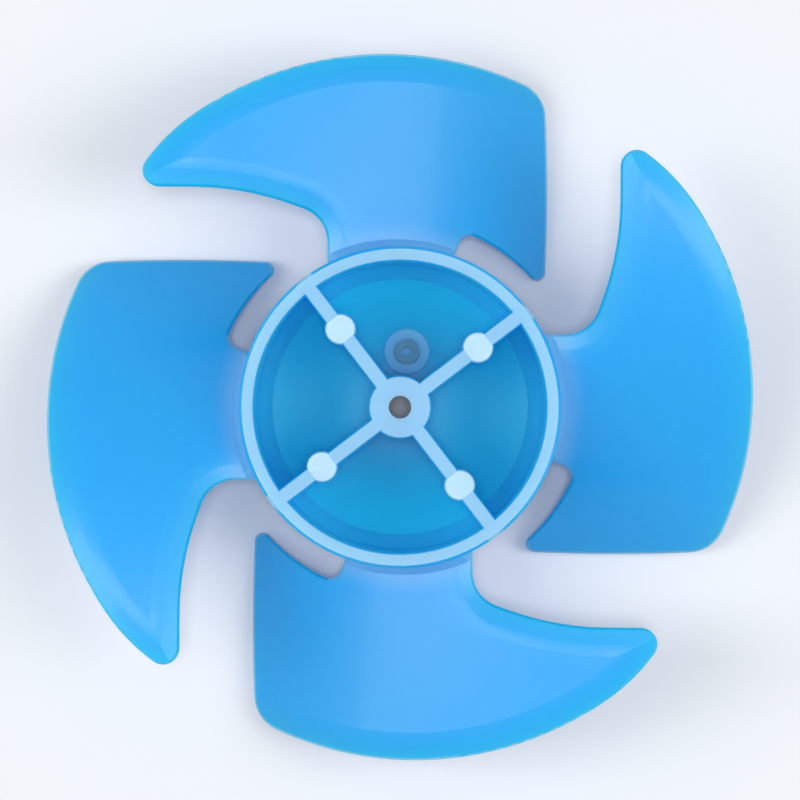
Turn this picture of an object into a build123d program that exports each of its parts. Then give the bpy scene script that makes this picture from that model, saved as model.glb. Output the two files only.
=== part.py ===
"""Axial fan impeller: one moulding with a ribbed hub cup and four cambered sickle blades.

The origin is on the shaft axis, at the open face of the hub, and +Z leaves the cup.
"""
import os
from math import acos, asin, atan2, cos, degrees, radians, sin, sqrt, tan

from build123d import *

# ---- hub cup ----
hub_outer_radius = 22.5
hub_wall = 2.1
hub_depth = 22.6
hub_floor = 2.0
dome_rise = 6.2
nose_corner_bevel = 0.8
cup_corner_bevel = 2.0
rim_edge_bevel = 0.4
mouth_edge_bevel = 0.2

seam_angle = 50.0

# ---- boss, ribs and pads inside the cup ----
boss_radius = 4.4
bore_diameter = 3.15
rib_count = 4
rib_width = 2.2
rib_angle = 37.4
pad_radius = 2.15
pad_center_radius = 13.7
pad_mark_radius = 1.3
pad_mark_depth = 0.15

# ---- gate well ----
gate_center_radius = 8.1
gate_angle = 83.0
gate_ring_radius = 3.4
gate_ring_height = 0.7
gate_pit_radius = 1.9
gate_pit_depth = 1.7
gate_stub_radius = 0.6

# ---- blades: camber sheet ----
blade_count = 4
blade_tip_radius = 50.0
blade_thickness = 2.0
camber_radius = 95.0
camber_crest_x = -38.0
camber_crest_z = 0.1
camber_start_angle = 92.0
sheet_margin = 4.5
root_twist = 5.0
twist_pivot_x = -1.0

# ---- blades: plan outline ----
leading_root_x = -10.2
leading_neck = 4.2
leading_knee_radius = 4.9
leading_bend_x = -21.85
leading_bend_rise = 4.0
leading_bend_radius = 41.0
relief_radius = 28.6
relief_start_angle = 124.7
sickle_tip_radius = 2.3
trailing_x = 20.95
trailing_bow_radius = 250.0
trailing_corner_radius = 5.0
slot_width = 4.2
slot_end_angle = 70.2
slot_end_radius = 1.9
hook_tip_radius = 1.2

# ---- blades: edges ----
band_width = 3.2
band_drop = 0.9
crease_radius = 6.0
blade_edge_bevel = 0.35
root_bevel = 1.2

# ---- worked out from the sizes above ----
blade_root_radius = hub_outer_radius - hub_wall / 2
slot_outer_radius = hub_outer_radius + slot_width
leading_knee_y = hub_outer_radius + leading_neck
leading_bend_y = leading_knee_y + leading_bend_rise
relief_offset = blade_tip_radius - relief_radius
relief_center_x = relief_offset * cos(radians(relief_start_angle))
relief_center_y = relief_offset * sin(radians(relief_start_angle))
sickle_half_chord = sqrt(relief_radius**2 - (leading_bend_y - relief_center_y) ** 2)
sickle_tip = (relief_center_x - sickle_half_chord, leading_bend_y)
sickle_tip_angle = degrees(atan2(leading_bend_y - relief_center_y, -sickle_half_chord))
sickle_round_y = leading_bend_y + sickle_tip_radius
sickle_round_reach = sqrt((relief_radius - sickle_tip_radius) ** 2 - (sickle_round_y - relief_center_y) ** 2)
leading_bend_side = sqrt((leading_root_x - leading_bend_x) ** 2 + leading_bend_rise**2)
leading_bend_turn = atan2(leading_bend_rise, leading_root_x - leading_bend_x)
leading_knee_run = leading_knee_radius * tan((radians(90) - leading_bend_turn) / 2)
leading_bend_run = min(
    leading_bend_x - relief_center_x + sickle_round_reach - blade_edge_bevel,
    leading_bend_side - leading_knee_run - blade_edge_bevel,
)
leading_bend_room = leading_bend_run / tan(leading_bend_turn / 2)
trailing_corner = (trailing_x, sqrt(blade_tip_radius**2 - trailing_x**2))
trailing_corner_angle = degrees(atan2(trailing_corner[1], trailing_x))
hook_corner = (trailing_x, sqrt(slot_outer_radius**2 - trailing_x**2))
slot_end_corner = (
    slot_outer_radius * cos(radians(slot_end_angle)),
    slot_outer_radius * sin(radians(slot_end_angle)),
)
camber_end_angle = degrees(acos((trailing_x + sheet_margin - camber_crest_x) / camber_radius))
camber_sweep = camber_start_angle - camber_end_angle

os.makedirs("parts", exist_ok=True)


def corner(sketch, point):
    """The sketch's corner that lies nearest to a point."""
    return sketch.vertices().sort_by_distance(point)[0]


# Plan of one blade with its two outer corners left sharp.
with BuildSketch() as sharp_plan:
    with BuildLine():
        Polyline(
            (leading_root_x, 0),
            (leading_root_x, leading_knee_y),
            (leading_bend_x, leading_bend_y),
            sickle_tip,
        )
        CenterArc(
            (relief_center_x, relief_center_y),
            relief_radius,
            relief_start_angle,
            sickle_tip_angle - relief_start_angle,
        )
        CenterArc(
            (0, 0),
            blade_tip_radius,
            trailing_corner_angle,
            relief_start_angle - trailing_corner_angle,
        )
        RadiusArc(trailing_corner, hook_corner, trailing_bow_radius)
        Polyline(hook_corner, (trailing_x, 0), (leading_root_x, 0))
    make_face()
    fillet(corner(sharp_plan, (leading_root_x, leading_knee_y)), leading_knee_radius)
    bend_corner = corner(sharp_plan, (leading_bend_x, leading_bend_y))
    fillet(bend_corner, min(leading_bend_radius, leading_bend_room))

# The slot that frees the hook from the hub: a quarter disc whose end is square to the hub.
with BuildSketch() as slot_plan:
    Circle(slot_outer_radius)
    with Locations(Location((0, 0, 0), (0, 0, slot_end_angle))):
        Rectangle(
            slot_outer_radius,
            slot_outer_radius,
            align=(Align.MIN, Align.MAX),
            mode=Mode.INTERSECT,
        )
    fillet(corner(slot_plan, slot_end_corner), slot_end_radius)

# The same plan with its corners rounded, and with the slot that frees the hook from the hub.
with BuildSketch() as blade_plan:
    add(sharp_plan.sketch)
    fillet(corner(blade_plan, sickle_tip), sickle_tip_radius)
    fillet(corner(blade_plan, trailing_corner), trailing_corner_radius)
    add(slot_plan.sketch, mode=Mode.SUBTRACT)
    Circle(blade_root_radius, mode=Mode.SUBTRACT)
    fillet(corner(blade_plan, hook_corner), hook_tip_radius)


def camber_strip(distance_out, twist):
    """Section of the blade sheet at a distance out from the shaft, pitched by a twist in degrees."""
    center = Vector(camber_crest_x, camber_crest_z - camber_radius)
    pivot_rise = sqrt(camber_radius**2 - (twist_pivot_x - camber_crest_x) ** 2)
    pivot = Vector(twist_pivot_x, center.Y + pivot_rise)
    turned = pivot + (center - pivot).rotate(Axis.Z, -twist)
    start_angle = camber_start_angle - twist
    half = blade_thickness / 2
    with BuildSketch(Plane.XZ.offset(-distance_out), mode=Mode.PRIVATE) as strip:
        with BuildLine():
            upper = CenterArc((turned.X, turned.Y), camber_radius + half, start_angle, -camber_sweep)
            lower = CenterArc((turned.X, turned.Y), camber_radius - half, start_angle, -camber_sweep)
            Line(upper @ 0, lower @ 0)
            Line(upper @ 1, lower @ 1)
        make_face()
    return strip.sketch


def axis_distance(point):
    """Distance of a point from the shaft axis."""
    return sqrt(point.X**2 + point.Y**2)


def face_is_upright(face):
    """True for a wall that runs along the shaft."""
    return abs(face.normal_at(face.center()).Z) < 0.01


def borders_one(edge, walls):
    """True where an edge bounds just one of the given faces."""
    return sum(edge in wall.edges() for wall in walls) == 1


def is_buried(edge):
    """True for an edge of the blade that ends up inside the hub wall."""
    return max(axis_distance(edge @ 0), axis_distance(edge @ 0.5), axis_distance(edge @ 1)) < hub_outer_radius


def is_inside_rim(edge):
    """True for an edge that lies within the flat of the rim."""
    return axis_distance(edge @ 0.5) < hub_outer_radius - hub_wall / 2


def is_long_root_edge(edge):
    """True for the long upper and lower edges along which a blade meets the outside of the hub."""
    on_wall = all(abs(axis_distance(edge @ t) - hub_outer_radius) < 0.01 for t in (0, 0.5, 1))
    return on_wall and edge.geom_type == GeomType.BSPLINE and edge.length > 2 * blade_edge_bevel


def upper_face(part):
    """The larger curved face that looks up, towards the open side of the hub."""
    return part.faces().filter_by(GeomType.BSPLINE).sort_by(SortBy.AREA)[-2:].sort_by(Axis.Z)[-1]


# One blade: a twisted strip of even thickness, thinned along its front and outer edges, then cut to plan.
with BuildPart() as blade:
    add(camber_strip(0, root_twist))
    add(camber_strip(blade_tip_radius * 1.1, 0))
    loft()
    add(sharp_plan.sketch)
    extrude(amount=2 * hub_depth, both=True, mode=Mode.INTERSECT)
    sheet_top = upper_face(blade)
    front_edge = sheet_top.edges().sort_by_distance((leading_bend_x, leading_bend_y, 0))[0]
    chamfer(front_edge, band_width, band_drop, reference=sheet_top)
    sheet_top = upper_face(blade)
    outer_edge = sheet_top.edges().sort_by_distance((0, blade_tip_radius, 0))[0]
    chamfer(outer_edge, band_width, band_drop, reference=sheet_top)
    sheet_top = upper_face(blade)
    creases = [
        edge
        for edge in sheet_top.edges()
        if (edge @ 0.5).Y > blade_tip_radius - 2 * band_width or (edge @ 0.5).X < leading_root_x + 1.5 * band_width
    ]
    fillet(creases, crease_radius)
    add(blade_plan.sketch)
    extrude(amount=2 * hub_depth, both=True, mode=Mode.INTERSECT)
    plan_walls = blade.faces().filter_by(face_is_upright)
    free_edges = [edge for edge in blade.edges() if borders_one(edge, plan_walls) and not is_buried(edge)]
    chamfer(free_edges, blade_edge_bevel)

dome_sphere_radius = (hub_outer_radius**2 + dome_rise**2) / (2 * dome_rise)
dome_center_z = dome_sphere_radius - hub_depth
dome_span = degrees(asin((hub_outer_radius - nose_corner_bevel) / dome_sphere_radius))
wall_end_z = dome_rise + nose_corner_bevel - hub_depth
cup_radius = hub_outer_radius - hub_wall
bowl_sphere_radius = dome_sphere_radius - hub_floor
bowl_span = degrees(asin((cup_radius - cup_corner_bevel) / bowl_sphere_radius))
cup_corner_z = dome_center_z - sqrt(bowl_sphere_radius**2 - cup_radius**2)
seam_plane = Plane.XZ.rotated((0, 0, seam_angle))
rib_plane = Plane.XZ.rotated((0, 0, rib_angle))

# Cup pockets: the turned inside of the cup, parted by the boss, the ribs and their ejector pads.
with BuildPart() as pockets:
    with BuildSketch(rib_plane):
        with BuildLine():
            bowl = CenterArc((0, dome_center_z), bowl_sphere_radius, -90, bowl_span)
            Polyline(
                bowl @ 0,
                (0, 0),
                (cup_radius, 0),
                (cup_radius, cup_corner_z + cup_corner_bevel),
                bowl @ 1,
            )
        make_face()
    revolve(axis=Axis.Z)
    with BuildSketch():
        Circle(boss_radius)
        with PolarLocations(cup_radius / 2, rib_count, start_angle=rib_angle):
            Rectangle(cup_radius * 1.1, rib_width)
        with PolarLocations(pad_center_radius, rib_count, start_angle=rib_angle):
            Circle(pad_radius)
    extrude(amount=-hub_depth, mode=Mode.SUBTRACT)

# Gate well: a low ring, square to the bowl, round a pit with the sheared stub of the gate in it.
gate_foot = Vector(
    gate_center_radius * cos(radians(gate_angle)),
    gate_center_radius * sin(radians(gate_angle)),
    dome_center_z - sqrt(bowl_sphere_radius**2 - gate_center_radius**2),
)
gate_plane = Plane(origin=gate_foot, z_dir=Vector(0, 0, dome_center_z) - gate_foot)
with BuildPart() as gate_ring:
    with BuildSketch(gate_plane):
        Circle(gate_ring_radius)
    extrude(amount=gate_ring_height)
    top_edge = gate_ring.edges().sort_by(Axis(gate_foot, gate_plane.z_dir))[-1]
    chamfer(top_edge, gate_ring_height / 3)
    with BuildSketch(gate_plane):
        Circle(gate_ring_radius)
    extrude(amount=-hub_floor / 2)

with BuildPart() as gate_pit:
    with BuildSketch(gate_plane.offset(gate_ring_height)):
        Circle(gate_pit_radius)
        Circle(gate_stub_radius, mode=Mode.SUBTRACT)
    extrude(amount=-gate_pit_depth)

# The whole moulding, on a turned hub with a shallow domed nose.
with BuildPart() as impeller:
    with BuildSketch(seam_plane):
        with BuildLine():
            nose = CenterArc((0, dome_center_z), dome_sphere_radius, -90, dome_span)
            Polyline(
                nose @ 0,
                (0, 0),
                (hub_outer_radius - rim_edge_bevel, 0),
                (hub_outer_radius, -rim_edge_bevel),
                (hub_outer_radius, wall_end_z),
                nose @ 1,
            )
        make_face()
    revolve(axis=Axis.Z)
    add(pockets.part, mode=Mode.SUBTRACT)
    pocket_mouths = impeller.edges().filter_by_position(Axis.Z, -0.01, 0.01).filter_by(is_inside_rim)
    chamfer(pocket_mouths, mouth_edge_bevel)
    with BuildSketch():
        with PolarLocations(pad_center_radius, rib_count, start_angle=rib_angle):
            Circle(pad_mark_radius)
    extrude(amount=-pad_mark_depth, mode=Mode.SUBTRACT)

    add(gate_ring.part)
    add(gate_pit.part, mode=Mode.SUBTRACT)
    with PolarLocations(0, blade_count):
        add(blade.part)
    root_edges = impeller.edges().filter_by(is_long_root_edge)
    root_room = root_edges.vertices().sort_by(Axis.Z)[0].Z - wall_end_z
    chamfer(root_edges, min(root_bevel, root_room - blade_edge_bevel))

    # Shaft bore, right through.
    Hole(bore_diameter / 2)

impeller.part.label = "impeller"
export_step(impeller.part, "parts/impeller.step")
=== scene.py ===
"""Axial fan impeller in translucent sky-blue plastic, on a pale studio floor.

Lengths are in metres. The origin is on the shaft axis at the hub's open rim, and +Z points out of
the cup. The whole object is one moulding, dressed with four finishes that share one colour group
and one skin group.
"""
import logging
import math
from dataclasses import dataclass
from enum import Enum

import bmesh
import bpy
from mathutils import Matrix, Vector
from mathutils.bvhtree import BVHTree


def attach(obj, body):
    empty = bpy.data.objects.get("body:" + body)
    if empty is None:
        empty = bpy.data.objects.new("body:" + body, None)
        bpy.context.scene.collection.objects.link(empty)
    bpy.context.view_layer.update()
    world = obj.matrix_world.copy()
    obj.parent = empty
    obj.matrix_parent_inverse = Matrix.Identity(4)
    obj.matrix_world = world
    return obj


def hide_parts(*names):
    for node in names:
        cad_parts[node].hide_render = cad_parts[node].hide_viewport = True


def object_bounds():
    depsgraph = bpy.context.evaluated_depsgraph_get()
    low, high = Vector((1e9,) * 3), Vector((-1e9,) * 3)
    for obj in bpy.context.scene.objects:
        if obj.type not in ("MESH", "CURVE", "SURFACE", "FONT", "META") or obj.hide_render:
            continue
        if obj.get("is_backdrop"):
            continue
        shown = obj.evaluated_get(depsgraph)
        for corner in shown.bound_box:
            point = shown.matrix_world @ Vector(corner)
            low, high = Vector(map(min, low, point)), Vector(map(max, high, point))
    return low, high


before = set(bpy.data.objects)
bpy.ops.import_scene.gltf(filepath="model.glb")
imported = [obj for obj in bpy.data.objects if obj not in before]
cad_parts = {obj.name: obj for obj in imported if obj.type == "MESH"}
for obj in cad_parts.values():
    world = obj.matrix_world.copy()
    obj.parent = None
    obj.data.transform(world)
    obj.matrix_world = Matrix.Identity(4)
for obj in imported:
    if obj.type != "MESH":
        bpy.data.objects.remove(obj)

log = logging.getLogger("impeller")

Color = tuple[float, float, float, float]
Size = tuple[float, float]

MM = 0.001
DEPTH_AND_LIGHT_ATTRIBUTE = "plastic_depth_and_painted_light"
NORMAL_LAYER = "moulded_normal"
DEEP_CYAN: Color = (0.001, 0.36, 0.90, 1.0)
MILKY_BLUE: Color = (0.22, 0.52, 0.87, 1.0)


class Zone(Enum):
    """Surfaces that the mould finished differently, with painted light in the cup's, pads' and
    gate's colours. The value is the material's place.
    """

    BLADE = 0
    CUP = 1
    LAND = 2
    PAD = 3


class MixSocket(Enum):
    """Places of a Mix node's colour sockets, whose names it repeats for other types of data."""

    LOW = 6
    HIGH = 7
    RESULT = 2


def set_inputs(node: bpy.types.Node, values: dict[str, object]) -> None:
    """Set a node's sockets by name.

    Args:
        node: The node to set up.
        values: Socket names and the values that they get.
    """
    for name, value in values.items():
        node.inputs[name].default_value = value


class NodeTree:
    """Short ways to add and join nodes in a material's, a group's or the world's tree."""

    def __init__(self, tree: bpy.types.NodeTree) -> None:
        """Keep the tree that the nodes go in."""
        self.tree = tree

    def add(
        self, kind: str, values: dict[str, object] | None = None, **settings: object
    ) -> bpy.types.Node:
        """Add one node.

        Args:
            kind: The node's type name.
            values: Values for its sockets, by name.
            settings: Values for its own properties.

        Returns:
            The new node.
        """
        node = self.tree.nodes.new(kind)
        for name, value in settings.items():
            setattr(node, name, value)
        set_inputs(node, values or {})
        return node

    def join(self, source: bpy.types.NodeSocket, target: bpy.types.NodeSocket) -> None:
        """Link an output to an input."""
        self.tree.links.new(source, target)

    def math(self, operation: str, *terms: object) -> bpy.types.NodeSocket:
        """Add a Math node.

        Args:
            operation: The name of the operation.
            terms: Numbers, or sockets to take them from.

        Returns:
            The socket with the result.
        """
        node = self.add("ShaderNodeMath", operation=operation)
        for place, term in zip(node.inputs, terms):
            if isinstance(term, bpy.types.NodeSocket):
                self.join(term, place)
            else:
                place.default_value = term
        return node.outputs["Value"]

    def ramp(
        self, value: bpy.types.NodeSocket, low: float, high: float
    ) -> bpy.types.NodeSocket:
        """Turn a value into a smooth mask that is 0 at low and 1 at high.

        Args:
            value: The socket to read.
            low: The value that gives 0, which may be the larger of the two.
            high: The value that gives 1.

        Returns:
            The socket with the mask.
        """
        limits = {"From Min": low, "From Max": high}
        node = self.add("ShaderNodeMapRange", limits, interpolation_type="SMOOTHSTEP")
        self.join(value, node.inputs["Value"])
        return node.outputs["Result"]

    def noise(self, scale: float, octaves: float) -> bpy.types.NodeSocket:
        """Add noise on Object coordinates.

        Args:
            scale: Waves per metre.
            octaves: Octaves of finer noise.

        Returns:
            The socket with the noise, around 0.5.
        """
        place = self.add("ShaderNodeTexCoord")
        node = self.add("ShaderNodeTexNoise", {"Scale": scale, "Detail": octaves})
        self.join(place.outputs["Object"], node.inputs["Vector"])
        return node.outputs["Fac"]

    def radius(self) -> bpy.types.NodeSocket:
        """Add the distance from the shaft axis.

        Returns:
            The socket with the distance, in metres.
        """
        place = self.add("ShaderNodeTexCoord")
        flat = self.add("ShaderNodeVectorMath", operation="MULTIPLY")
        flat.inputs[1].default_value = (1.0, 1.0, 0.0)
        length = self.add("ShaderNodeVectorMath", operation="LENGTH")
        self.join(place.outputs["Object"], flat.inputs[0])
        self.join(flat.outputs["Vector"], length.inputs[0])
        return length.outputs["Value"]

    def mix(
        self,
        factor: bpy.types.NodeSocket,
        low: bpy.types.NodeSocket,
        high: bpy.types.NodeSocket,
    ) -> bpy.types.NodeSocket:
        """Mix two colours.

        Args:
            factor: The socket with the share of the second colour.
            low: The socket with the first colour.
            high: The socket with the second colour.

        Returns:
            The socket with the mixed colour.
        """
        node = self.add("ShaderNodeMix", data_type="RGBA")
        self.join(factor, node.inputs["Factor"])
        self.join(low, node.inputs[MixSocket.LOW.value])
        self.join(high, node.inputs[MixSocket.HIGH.value])
        return node.outputs[MixSocket.RESULT.value]


def new_group(
    name: str, inputs: dict[str, str], outputs: dict[str, str]
) -> bpy.types.ShaderNodeTree:
    """Make an empty shader node group with its sockets.

    Args:
        name: The group's name.
        inputs: Names of the inputs with their socket types.
        outputs: Names of the outputs with their socket types.

    Returns:
        The group's tree.
    """
    tree = bpy.data.node_groups.new(name, "ShaderNodeTree")
    for way, sockets in (("INPUT", inputs), ("OUTPUT", outputs)):
        for label, kind in sockets.items():
            tree.interface.new_socket(label, in_out=way, socket_type=kind)
    return tree


@dataclass(frozen=True)
class MilkyBody:
    """Body colour: deep where the wall is thin, milky where the light crosses more of it, and
    milky as painted light where the depth attribute holds a set depth.
    """

    thin_wall: float = 2.3 * MM
    thick_wall: float = 9.0 * MM
    root_start: float = 22.6 * MM
    root_end: float = 27.5 * MM
    root_share: float = 0.55
    cloud_scale: float = 55.0
    cloud_octaves: float = 3.0
    cloud_middle: float = 0.35

    def build(self) -> bpy.types.ShaderNodeTree:
        """Build the group that gives the body colour.

        Returns:
            A group with the inputs Deep, Milky and Clouding, and the output Color.
        """
        tree = new_group(
            "milky_body",
            {
                "Deep": "NodeSocketColor",
                "Milky": "NodeSocketColor",
                "Clouding": "NodeSocketFloat",
            },
            {"Color": "NodeSocketColor"},
        )
        nodes = NodeTree(tree)
        given = nodes.add("NodeGroupInput").outputs
        result = nodes.add("NodeGroupOutput").inputs

        # The depth attribute also carries painted light: set depths that make the blades' edges,
        # the gate and the cup's steep sides milky.
        depth = nodes.add("ShaderNodeAttribute", attribute_name=DEPTH_AND_LIGHT_ATTRIBUTE)
        thick = nodes.ramp(depth.outputs["Fac"], self.thin_wall, self.thick_wall)

        # The blades grow milky towards the hub, and the hub itself doesn't.
        radius = nodes.radius()
        outside = nodes.math("GREATER_THAN", radius, self.root_start)
        near_hub = nodes.ramp(radius, self.root_end, self.root_start)
        root = nodes.math("MULTIPLY", nodes.math("MULTIPLY", near_hub, outside), self.root_share)

        noise = nodes.noise(self.cloud_scale, self.cloud_octaves)
        clouds = nodes.math("SUBTRACT", noise, self.cloud_middle)
        drift = nodes.math("MULTIPLY", clouds, given["Clouding"])
        total = nodes.math("ADD", nodes.math("MAXIMUM", thick, root), drift)
        milkiness = nodes.ramp(total, 0.0, 1.0)
        nodes.join(nodes.mix(milkiness, given["Deep"], given["Milky"]), result["Color"])
        return tree


@dataclass(frozen=True)
class MouldSkin:
    """Skin that the mould leaves: fine even grain, long faint waves, and patches of gloss."""

    wave_scale: float = 120.0
    wave_octaves: float = 2.0
    wave_middle: float = 0.5
    grain_scale: float = 2600.0
    grain_octaves: float = 1.0
    grain_share: float = 0.35
    relief: float = 0.02 * MM

    def build(self) -> bpy.types.ShaderNodeTree:
        """Build the group that gives the skin.

        Returns:
            A group with the inputs Roughness, Patchiness and Relief, and the outputs Roughness
            and Normal.
        """
        tree = new_group(
            "mould_skin",
            {
                "Roughness": "NodeSocketFloat",
                "Patchiness": "NodeSocketFloat",
                "Relief": "NodeSocketFloat",
            },
            {"Roughness": "NodeSocketFloat", "Normal": "NodeSocketVector"},
        )
        nodes = NodeTree(tree)
        given = nodes.add("NodeGroupInput").outputs
        result = nodes.add("NodeGroupOutput").inputs

        waves = nodes.noise(self.wave_scale, self.wave_octaves)
        swing = nodes.math("SUBTRACT", waves, self.wave_middle)
        patches = nodes.math("MULTIPLY", swing, given["Patchiness"])
        nodes.join(nodes.math("ADD", patches, given["Roughness"]), result["Roughness"])

        noise = nodes.noise(self.grain_scale, self.grain_octaves)
        grain = nodes.math("MULTIPLY", noise, self.grain_share)
        bump = nodes.add("ShaderNodeBump", {"Distance": self.relief})
        nodes.join(nodes.math("ADD", waves, grain), bump.inputs["Height"])
        nodes.join(given["Relief"], bump.inputs["Strength"])
        nodes.join(bump.outputs["Normal"], result["Normal"])
        return tree


@dataclass(frozen=True)
class PlasticFinish:
    """One finish of the moulding, from a satin blade to a polished cup; the cup's and the pads'
    colours carry painted light.
    """

    name: str
    roughness: float
    patchiness: float
    relief: float
    clouding: float
    coat: float
    deep: Color = DEEP_CYAN
    milky: Color = MILKY_BLUE
    coat_roughness: float = 0.12
    transmission: float = 0.08
    specular: float = 0.42
    subsurface: float = 0.85
    scatter_length: float = 8.0 * MM
    scatter_tint: tuple[float, float, float] = (0.6, 0.9, 1.0)
    ior: float = 1.49

    def build(
        self, body: bpy.types.ShaderNodeTree, skin: bpy.types.ShaderNodeTree
    ) -> bpy.types.Material:
        """Build the material from the two shared groups.

        Args:
            body: The group with the body colour.
            skin: The group with the roughness and the grain.

        Returns:
            The finished material.
        """
        material = bpy.data.materials.new(self.name)
        material.use_nodes = True
        nodes = NodeTree(material.node_tree)
        shader = material.node_tree.nodes["Principled BSDF"]
        color = nodes.add("ShaderNodeGroup", node_tree=body)
        surface = nodes.add("ShaderNodeGroup", node_tree=skin)
        set_inputs(
            color,
            {"Deep": self.deep, "Milky": self.milky, "Clouding": self.clouding},
        )
        set_inputs(
            surface,
            {
                "Roughness": self.roughness,
                "Patchiness": self.patchiness,
                "Relief": self.relief,
            },
        )
        nodes.join(color.outputs["Color"], shader.inputs["Base Color"])
        nodes.join(surface.outputs["Roughness"], shader.inputs["Roughness"])
        nodes.join(surface.outputs["Normal"], shader.inputs["Normal"])
        set_inputs(
            shader,
            {
                "IOR": self.ior,
                "Specular IOR Level": self.specular,
                "Transmission Weight": self.transmission,
                "Subsurface Weight": self.subsurface,
                "Subsurface Radius": self.scatter_tint,
                "Subsurface Scale": self.scatter_length,
                "Coat Weight": self.coat,
                "Coat Roughness": self.coat_roughness,
            },
        )
        return material


@dataclass
class Impeller:
    """The one-piece moulding: a ribbed hub cup and four sickle blades."""

    node: str = "impeller"
    slot: str = "translucent_polypropylene"
    hub_radius: float = 22.5 * MM
    cup_radius: float = 20.6 * MM
    land_depth: float = 0.25 * MM
    pad_reach: float = 13.7 * MM
    pad_radius: float = 2.2 * MM
    pad_turn: float = math.radians(37.4)
    pad_count: int = 4
    gate_center: tuple[float, float] = (0.99 * MM, 8.04 * MM)
    gate_radius: float = 3.3 * MM
    root_width: float = 2.0 * MM
    wall: float = 2.0 * MM
    painted_highlight_depth: float = 5.5 * MM
    cup_wall_painted_light_depth: float = 4.4 * MM
    weld: float = 0.002 * MM
    level: float = 0.6

    def finishes(self) -> dict[Zone, PlasticFinish]:
        """The finish of each zone; the cup's and the pads' colours carry painted light."""
        return {
            Zone.BLADE: PlasticFinish(
                name="satin_blade_plastic",
                roughness=0.36,
                patchiness=0.08,
                relief=0.25,
                clouding=0.20,
                coat=0.10,
            ),
            Zone.CUP: PlasticFinish(
                name="polished_cup_painted_light",
                roughness=0.34,
                patchiness=0.06,
                relief=0.20,
                clouding=0.16,
                coat=0.20,
                # Painted light: the cup's deep colour is lighter than the blades' to make up for
                # the light that its walls keep from the floor.
                deep=(0.008, 0.56, 0.98, 1.0),
            ),
            Zone.LAND: PlasticFinish(
                name="matt_land_plastic",
                roughness=0.42,
                patchiness=0.10,
                relief=0.35,
                clouding=0.16,
                coat=0.0,
            ),
            Zone.PAD: PlasticFinish(
                name="smooth_pad_painted_highlight",
                roughness=0.31,
                patchiness=0.10,
                relief=0.35,
                clouding=0.16,
                coat=0.0,
                # Painted highlight: the pads and the gate have paler deep and milky colours that
                # stand in for their highlights.
                deep=(0.06, 0.62, 0.95, 1.0),
                milky=(0.33, 0.60, 0.94, 1.0),
            ),
        }

    def on_pad(self, place: Vector) -> bool:
        """Tell whether a place on the flush land is on one of the ribs' round pads."""
        pitch = 2.0 * math.pi / self.pad_count
        turn = math.remainder(math.atan2(place.y, place.x) - self.pad_turn, pitch)
        radius = place.xy.length
        off_rib = radius * math.sin(turn)
        off_middle = radius * math.cos(turn) - self.pad_reach
        return math.hypot(off_middle, off_rib) < self.pad_radius

    def on_gate(self, place: Vector) -> bool:
        """Tell whether a place inside the cup is on the raised gate ring or in its well."""
        return (place.xy - Vector(self.gate_center)).length < self.gate_radius

    def in_cup(self, face: bmesh.types.BMFace) -> bool:
        """Tell whether a face is on the hub's open side and within its wall."""
        radius = face.calc_center_median().xy.length
        return radius < self.cup_radius and face.normal.z > -self.level

    def zone_of(self, face: bmesh.types.BMFace) -> Zone:
        """Tell which zone a face belongs to.

        Args:
            face: A face of the moulding.

        Returns:
            The land is the flush rim, ribs and boss, and the pads are on the ribs and round the
            gate. The cup is what faces its open side, and the rest is blade.
        """
        center = face.calc_center_median()
        if center.xy.length > self.hub_radius + self.weld:
            return Zone.BLADE
        if center.z > -self.land_depth and face.normal.z > self.level:
            return Zone.PAD if self.on_pad(center) else Zone.LAND
        if self.in_cup(face):
            # Painted highlight: the gate takes the pads' paler colours.
            return Zone.PAD if self.on_gate(center) else Zone.CUP
        return Zone.BLADE

    def measure_depth_and_paint_light(self, tree: BVHTree, face: bmesh.types.BMFace) -> float:
        """Measure how much plastic the light crosses behind a face, and give some faces a set
        depth that paints light.

        Args:
            tree: Search tree of the whole moulding.
            face: The face to look through.

        Returns:
            The distance to the far side, in metres, where a face of the hub looks out of the
            cup. The blades' sheet, the hub's outer wall and its nose are one wall thick. The
            blades' edges and the gate get a set depth that paints a highlight on them, and the
            cup's steep sides get a set depth that paints them paler.
        """
        center = face.calc_center_median()
        radius = center.xy.length
        past_root = radius > self.hub_radius + self.root_width
        # Painted highlight: steep blade faces past the root get a set depth that makes their
        # edges milky.
        if past_root and abs(face.normal.z) < self.level:
            return self.painted_highlight_depth
        # Painted highlight: the gate ring and its well get the same set depth.
        if self.in_cup(face) and self.on_gate(center):
            return self.painted_highlight_depth
        # Painted light: steep faces inside the cup get a set depth that paints them paler; the
        # other faces here count one wall thick.
        if radius >= self.hub_radius - self.weld or face.normal.z <= self.level:
            return self.cup_wall_painted_light_depth if self.in_cup(face) else self.wall
        start = center - face.normal * self.weld
        distance = tree.ray_cast(start, -face.normal)[3]
        return distance if distance is not None else self.wall

    def merged_copy(self) -> bmesh.types.BMesh:
        """Copy the solid's mesh, with its corner normals in a layer, and merge its doubles.

        Returns:
            The merged copy.
        """
        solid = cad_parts[self.node].data
        mesh = bmesh.new()
        mesh.from_mesh(solid)
        normals = mesh.loops.layers.float_vector.new(NORMAL_LAYER)
        corners = (corner for face in mesh.faces for corner in face.loops)
        for corner, normal in zip(corners, solid.corner_normals):
            corner[normals] = normal.vector
        bmesh.ops.remove_doubles(mesh, verts=mesh.verts, dist=self.weld)
        mesh.normal_update()
        return mesh

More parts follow.
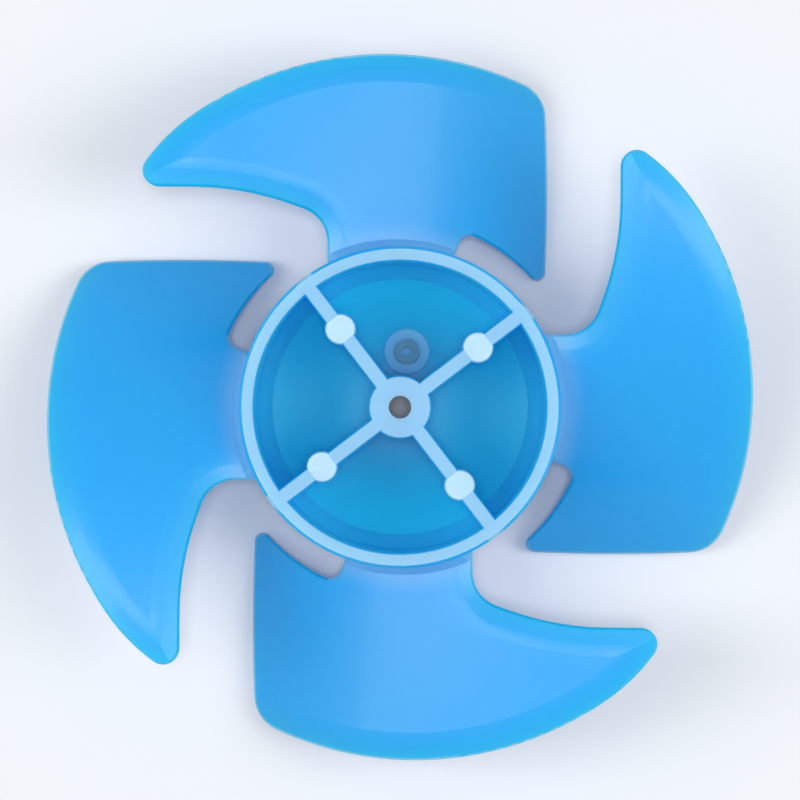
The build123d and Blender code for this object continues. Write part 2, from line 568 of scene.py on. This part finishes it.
    def mark_faces(self, mesh: bmesh.types.BMesh) -> None:
        """Give each face its material, and its corners the depth of plastic behind it, which on
        some faces is a set depth that paints light.

        Args:
            mesh: The merged copy of the moulding.
        """
        tree = BVHTree.FromBMesh(mesh)
        depth_and_light_layer = mesh.loops.layers.float.new(DEPTH_AND_LIGHT_ATTRIBUTE)
        for face in mesh.faces:
            face.smooth = True
            face.material_index = self.zone_of(face).value
            depth = self.measure_depth_and_paint_light(tree, face)
            for corner in face.loops:
                corner[depth_and_light_layer] = depth

    def build(self) -> bpy.types.Object:
        """Make the dressed moulding from a merged copy of its solid.

        Returns:
            The new piece, which stands for the solid.
        """
        mesh = self.merged_copy()
        self.mark_faces(mesh)
        layer = mesh.loops.layers.float_vector[NORMAL_LAYER]
        normals = [corner[layer].copy() for face in mesh.faces for corner in face.loops]
        mesh.loops.layers.float_vector.remove(layer)
        data = bpy.data.meshes.new("impeller_moulding")
        mesh.to_mesh(data)
        mesh.free()
        data.normals_split_custom_set(normals)
        piece = bpy.data.objects.new("impeller_moulding", data)
        bpy.context.collection.objects.link(piece)
        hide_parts(self.node)
        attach(piece, "root")
        return piece

    def dress(self, piece: bpy.types.Object) -> None:
        """Give the moulding its finishes.

        Args:
            piece: The moulding that build made.
        """
        body = MilkyBody().build()
        skin = MouldSkin().build()
        finishes = self.finishes()
        for zone in Zone:
            piece.data.materials.append(finishes[zone].build(body, skin))


@dataclass
class Studio:
    """Pale floor, a tall lamp on each side, one overhead, and a camera over the shaft."""

    floor_radius: float = 1.5
    floor_sides: int = 96
    floor_color: Color = (0.80, 0.82, 0.84, 1.0)
    floor_roughness: float = 0.9
    floor_specular: float = 0.1
    side_lamp_size: Size = (0.20, 0.42)
    side_lamp_reach: float = 0.355
    side_lamp_height: float = 0.45
    side_lamp_power: float = 1.25
    top_lamp_size: Size = (0.14, 0.14)
    top_lamp_height: float = 1.0
    top_lamp_power: float = 2.8
    sky_color: Color = (0.95, 0.97, 1.0, 1.0)
    sky_light: float = 0.36
    seen_sky: float = 1.0
    camera_place: tuple[float, float, float] = (0.0, 0.001, 0.4925)
    camera_lens: float = 159.0
    camera_clip: Size = (0.01, 10.0)

    def build_floor(self, height: float) -> None:
        """Make the round floor.

        Args:
            height: Where its surface lies.
        """
        mesh = bmesh.new()
        bmesh.ops.create_circle(
            mesh, cap_ends=True, segments=self.floor_sides, radius=self.floor_radius
        )
        bmesh.ops.translate(mesh, verts=mesh.verts, vec=Vector((0.0, 0.0, height)))
        bmesh.ops.recalc_face_normals(mesh, faces=mesh.faces)
        data = bpy.data.meshes.new("studio_floor")
        mesh.to_mesh(data)
        mesh.free()
        floor = bpy.data.objects.new("studio_floor", data)
        bpy.context.collection.objects.link(floor)
        material = bpy.data.materials.new("pale_floor")
        material.use_nodes = True
        set_inputs(
            material.node_tree.nodes["Principled BSDF"],
            {
                "Base Color": self.floor_color,
                "Roughness": self.floor_roughness,
                "Specular IOR Level": self.floor_specular,
            },
        )
        data.materials.append(material)
        floor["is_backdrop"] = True

    def build_lamp(self, name: str, place: Vector, size: Size, power: float) -> None:
        """Make one soft lamp that looks at the origin.

        Args:
            name: The lamp's name.
            place: Where it stands.
            size: Its width and its length.
            power: Its power in watts.
        """
        data = bpy.data.lights.new(name, "AREA")
        data.shape = "RECTANGLE"
        data.size, data.size_y = size
        data.energy = power
        lamp = bpy.data.objects.new(name, data)
        lamp.location = place
        lamp.rotation_euler = (-place).to_track_quat("-Z", "Y").to_euler()
        bpy.context.collection.objects.link(lamp)

    def build_lamps(self) -> None:
        """Make the two side lamps and the one overhead."""
        for name, side in (("left_lamp", -1.0), ("right_lamp", 1.0)):
            place = Vector((side * self.side_lamp_reach, 0.0, self.side_lamp_height))
            self.build_lamp(name, place, self.side_lamp_size, self.side_lamp_power)
        place = Vector((0.0, 0.0, self.top_lamp_height))
        self.build_lamp("top_lamp", place, self.top_lamp_size, self.top_lamp_power)

    def build_sky(self) -> None:
        """Make the even light from all round, which is seen and mirrored as white."""
        world = bpy.data.worlds.new("studio_sky")
        world.use_nodes = True
        nodes = NodeTree(world.node_tree)
        background = world.node_tree.nodes["Background"]
        path = nodes.add("ShaderNodeLightPath").outputs
        seen = nodes.math("MAXIMUM", path["Is Camera Ray"], path["Is Glossy Ray"])
        seen = nodes.math("MAXIMUM", seen, path["Is Transmission Ray"])
        strengths = {"A": self.sky_light, "B": self.seen_sky}
        strength = nodes.add("ShaderNodeMix", strengths, data_type="FLOAT")
        nodes.join(seen, strength.inputs["Factor"])
        nodes.join(strength.outputs["Result"], background.inputs["Strength"])
        set_inputs(background, {"Color": self.sky_color})
        bpy.context.scene.world = world

    def build_camera(self) -> None:
        """Make the scene's camera, which looks straight down beside the shaft axis."""
        data = bpy.data.cameras.new("camera")
        data.lens = self.camera_lens
        data.clip_start, data.clip_end = self.camera_clip
        camera = bpy.data.objects.new("camera", data)
        camera.location = self.camera_place
        bpy.context.collection.objects.link(camera)
        bpy.context.scene.camera = camera

    def build(self, floor_height: float) -> None:
        """Make the whole studio.

        Args:
            floor_height: Where the floor's surface lies.
        """
        self.build_floor(floor_height)
        self.build_lamps()
        self.build_sky()
        self.build_camera()
        bpy.context.scene.view_settings.view_transform = "Standard"


def corners(box: tuple[Vector, Vector]) -> list[list[float]]:
    """A box as plain lists of numbers."""
    return [[float(value) for value in corner] for corner in box]


def main() -> None:
    """Build the dressed impeller and the studio, with the floor under the solid's box."""
    logging.basicConfig(level=logging.INFO, format="%(name)s: %(message)s")
    solid_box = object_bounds()
    impeller = Impeller()
    piece = impeller.build()
    impeller.dress(piece)
    data = piece.data
    log.info("%s: %d faces, %d finishes", piece.name, len(data.polygons), len(data.materials))
    floor_height = solid_box[0].z
    Studio().build(floor_height)
    log.info("studio ready, floor at %.4f m", floor_height)


if __name__ == "__main__":
    main()
